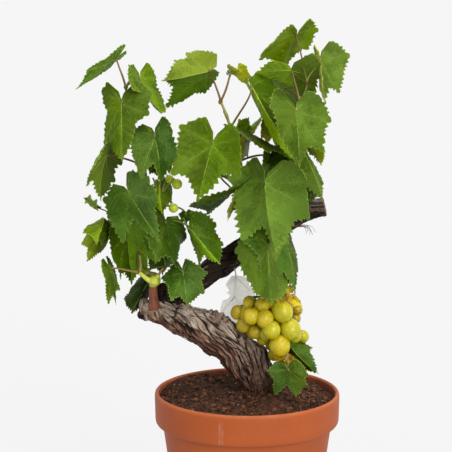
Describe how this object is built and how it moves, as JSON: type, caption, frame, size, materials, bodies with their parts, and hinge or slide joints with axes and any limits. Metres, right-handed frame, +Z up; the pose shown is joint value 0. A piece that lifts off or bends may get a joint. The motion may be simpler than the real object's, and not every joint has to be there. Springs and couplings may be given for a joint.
{
  "type": "potted grapevine",
  "caption": "Small trained grapevine with a leaning gnarled trunk, an old rising arm, lobed leaves and a bunch of pale grapes, in a collared terracotta-coloured pot.",
  "frame": {"origin": "centre of the flat underside of the pot", "axes": "+Z up, +X from the leaning trunk head towards the cut end of the old arm, -Y towards the side that carries the fruit"},
  "size_m": [0.2949, 0.2, 0.5812],
  "materials": {
    "pot": "satin",
    "soil": "matte",
    "bark": "matte",
    "cane": "matte",
    "green_shoot": "satin",
    "leaf": "satin",
    "leaf_shade": "satin",
    "withered_leaf": "matte",
    "grape": "satin"
  },
  "bodies": {
    "root": {"pot": "pot", "soil": "soil", "trunk": "bark", "old_arm": "bark", "cane_spur": "cane", "left_shoot": "green_shoot", "centre_shoot": "green_shoot", "right_shoot": "green_shoot", "bunch_stalk": "green_shoot", "left_side_shoot": "green_shoot", "centre_side_shoot": "green_shoot", "right_side_shoot": "green_shoot", "grape_bunch": "grape", "withered_leaf": "withered_leaf", "foliage_left_upper": "leaf", "foliage_left_middle": "leaf", "foliage_centre": "leaf", "foliage_right_low": "leaf", "foliage_right_middle": "leaf", "foliage_centre_low": "leaf", "foliage_right_crest": "leaf", "foliage_centre_crest": "leaf", "foliage_left_tip": "leaf", "foliage_left_crest": "leaf", "foliage_left_side": "leaf", "foliage_left_low": "leaf", "foliage_left_under": "leaf_shade", "foliage_foot": "leaf", "foliage_back_left": "leaf_shade", "foliage_back_centre": "leaf_shade", "foliage_back_right": "leaf_shade"}
  },
  "joints": []
}
